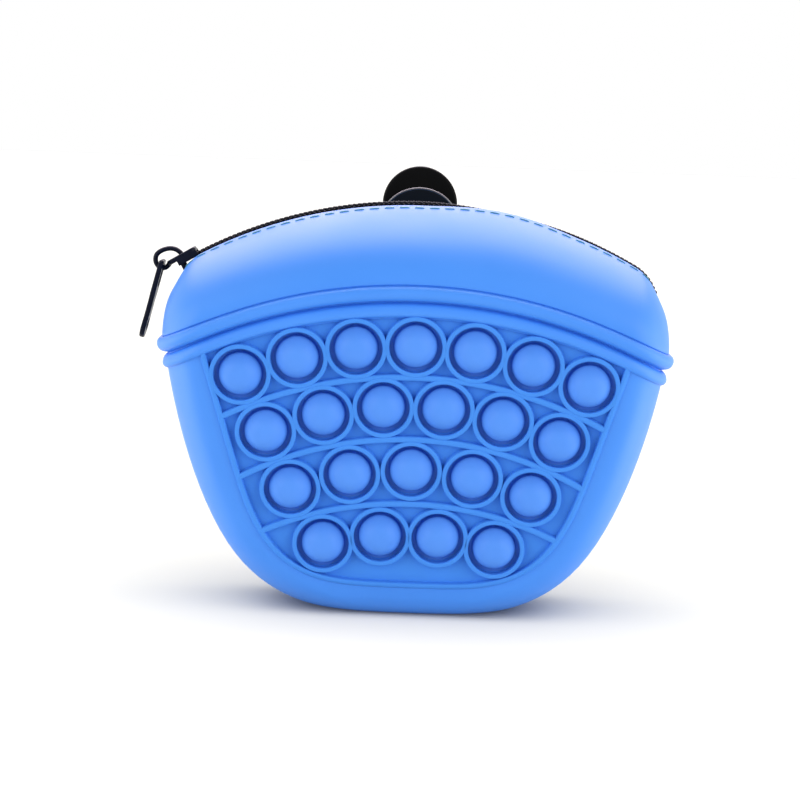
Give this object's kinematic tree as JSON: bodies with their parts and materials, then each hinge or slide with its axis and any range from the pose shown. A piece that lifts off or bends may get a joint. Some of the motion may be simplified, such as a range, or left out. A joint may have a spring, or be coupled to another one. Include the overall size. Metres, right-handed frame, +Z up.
{
  "type": "treat pouch",
  "caption": "Moulded silicone treat pouch with an arched zip mouth, push-through bubbles on the front and a sprung belt clip on the back.",
  "frame": {"origin": "middle of the flat base that the pouch stands on", "axes": "+X to the right seen from the bubble side, +Y to the back where the clip is, +Z up"},
  "size_m": [0.1503, 0.0711, 0.124],
  "materials": {
    "silicone": "satin",
    "silicone_bubble": "satin",
    "zip_tape": "woven",
    "zip_coil": "satin",
    "zip_metal": "satin",
    "clip_plastic": "fine grain",
    "steel": "bright"
  },
  "bodies": {
    "pouch": {"pouch_shell": "silicone", "bubble_panel": "silicone", "zip_tape_rear": "zip_tape", "zip_coil_rear": "zip_coil", "clip_base": "clip_plastic", "clip_pin": "steel", "clip_spring": "steel", "clip_rivets": "steel", "backing_plate": "clip_plastic"},
    "front_lip": {"front_lip": "silicone", "zip_tape_front": "zip_tape", "zip_coil_front": "zip_coil"},
    "slider": {"zip_slider": "zip_metal"},
    "pull_tab": {"pull_tab": "zip_metal"},
    "clip_lever": {"clip_lever": "clip_plastic"},
    "bubble_1": {"bubble_1": "silicone_bubble"},
    "bubble_2": {"bubble_2": "silicone_bubble"},
    "bubble_3": {"bubble_3": "silicone_bubble"},
    "bubble_4": {"bubble_4": "silicone_bubble"},
    "bubble_5": {"bubble_5": "silicone_bubble"},
    "bubble_6": {"bubble_6": "silicone_bubble"},
    "bubble_7": {"bubble_7": "silicone_bubble"},
    "bubble_8": {"bubble_8": "silicone_bubble"},
    "bubble_9": {"bubble_9": "silicone_bubble"},
    "bubble_10": {"bubble_10": "silicone_bubble"},
    "bubble_11": {"bubble_11": "silicone_bubble"},
    "bubble_12": {"bubble_12": "silicone_bubble"},
    "bubble_13": {"bubble_13": "silicone_bubble"},
    "bubble_14": {"bubble_14": "silicone_bubble"},
    "bubble_15": {"bubble_15": "silicone_bubble"},
    "bubble_16": {"bubble_16": "silicone_bubble"},
    "bubble_17": {"bubble_17": "silicone_bubble"},
    "bubble_18": {"bubble_18": "silicone_bubble"},
    "bubble_19": {"bubble_19": "silicone_bubble"},
    "bubble_20": {"bubble_20": "silicone_bubble"},
    "bubble_21": {"bubble_21": "silicone_bubble"},
    "bubble_22": {"bubble_22": "silicone_bubble"}
  },
  "joints": [
    {"name": "mouth_open", "type": "hinge", "parent": "pouch", "child": "front_lip", "pos_m": [0, -0.0303, 0.0974], "axis": [1, 0, 0], "range_deg": [0, 40], "stiffness_Nm_per_rad": 0.02, "deforming": ["zip_tape_front", "zip_coil_front"]},
    {"name": "slider_travel", "type": "hinge", "parent": "pouch", "child": "slider", "pos_m": [0, 0, -0.0121], "axis": [0, 1, 0], "range_deg": [0, 59.4], "deforming": ["zip_coil_front", "zip_coil_rear"]},
    {"name": "pull_swing", "type": "hinge", "parent": "slider", "child": "pull_tab", "pos_m": [-0.07186, 0, 0.09545], "axis": [0, 1, 0], "range_deg": [0, 191]},
    {"name": "clip_open", "type": "hinge", "parent": "pouch", "child": "clip_lever", "pos_m": [0, 0.0314, 0.1], "axis": [1, 0, 0], "range_deg": [0, 16], "stiffness_Nm_per_rad": 0.6, "springref_deg": -20.05, "deforming": ["clip_spring"]},
    {"name": "push_1", "type": "slide", "parent": "pouch", "child": "bubble_1", "axis": [0, 0.9925, 0.1219], "range_m": [0, 0.008]},
    {"name": "push_2", "type": "slide", "parent": "pouch", "child": "bubble_2", "axis": [0, 0.9925, 0.1219], "range_m": [0, 0.008]},
    {"name": "push_3", "type": "slide", "parent": "pouch", "child": "bubble_3", "axis": [0, 0.9925, 0.1219], "range_m": [0, 0.008]},
    {"name": "push_4", "type": "slide", "parent": "pouch", "child": "bubble_4", "axis": [0, 0.9925, 0.1219], "range_m": [0, 0.008]},
    {"name": "push_5", "type": "slide", "parent": "pouch", "child": "bubble_5", "axis": [0, 0.9925, 0.1219], "range_m": [0, 0.008]},
    {"name": "push_6", "type": "slide", "parent": "pouch", "child": "bubble_6", "axis": [0, 0.9925, 0.1219], "range_m": [0, 0.008]},
    {"name": "push_7", "type": "slide", "parent": "pouch", "child": "bubble_7", "axis": [0, 0.9925, 0.1219], "range_m": [0, 0.008]},
    {"name": "push_8", "type": "slide", "parent": "pouch", "child": "bubble_8", "axis": [0, 0.9925, 0.1219], "range_m": [0, 0.008]},
    {"name": "push_9", "type": "slide", "parent": "pouch", "child": "bubble_9", "axis": [0, 0.9925, 0.1219], "range_m": [0, 0.008]},
    {"name": "push_10", "type": "slide", "parent": "pouch", "child": "bubble_10", "axis": [0, 0.9925, 0.1219], "range_m": [0, 0.008]},
    {"name": "push_11", "type": "slide", "parent": "pouch", "child": "bubble_11", "axis": [0, 0.9925, 0.1219], "range_m": [0, 0.008]},
    {"name": "push_12", "type": "slide", "parent": "pouch", "child": "bubble_12", "axis": [0, 0.9925, 0.1219], "range_m": [0, 0.008]},
    {"name": "push_13", "type": "slide", "parent": "pouch", "child": "bubble_13", "axis": [0, 0.9925, 0.1219], "range_m": [0, 0.008]},
    {"name": "push_14", "type": "slide", "parent": "pouch", "child": "bubble_14", "axis": [0, 0.9925, 0.1219], "range_m": [0, 0.008]},
    {"name": "push_15", "type": "slide", "parent": "pouch", "child": "bubble_15", "axis": [0, 0.9925, 0.1219], "range_m": [0, 0.008]},
    {"name": "push_16", "type": "slide", "parent": "pouch", "child": "bubble_16", "axis": [0, 0.9925, 0.1219], "range_m": [0, 0.008]},
    {"name": "push_17", "type": "slide", "parent": "pouch", "child": "bubble_17", "axis": [0, 0.9925, 0.1219], "range_m": [0, 0.008]},
    {"name": "push_18", "type": "slide", "parent": "pouch", "child": "bubble_18", "axis": [0, 0.9925, 0.1219], "range_m": [0, 0.008]},
    {"name": "push_19", "type": "slide", "parent": "pouch", "child": "bubble_19", "axis": [0, 0.9925, 0.1219], "range_m": [0, 0.008]},
    {"name": "push_20", "type": "slide", "parent": "pouch", "child": "bubble_20", "axis": [0, 0.9925, 0.1219], "range_m": [0, 0.008]},
    {"name": "push_21", "type": "slide", "parent": "pouch", "child": "bubble_21", "axis": [0, 0.9925, 0.1219], "range_m": [0, 0.008]},
    {"name": "push_22", "type": "slide", "parent": "pouch", "child": "bubble_22", "axis": [0, 0.9925, 0.1219], "range_m": [0, 0.008]}
  ],
  "couplings": [
    {"joint": "pull_swing", "follows": "slider_travel", "ratio": 3.2}
  ]
}
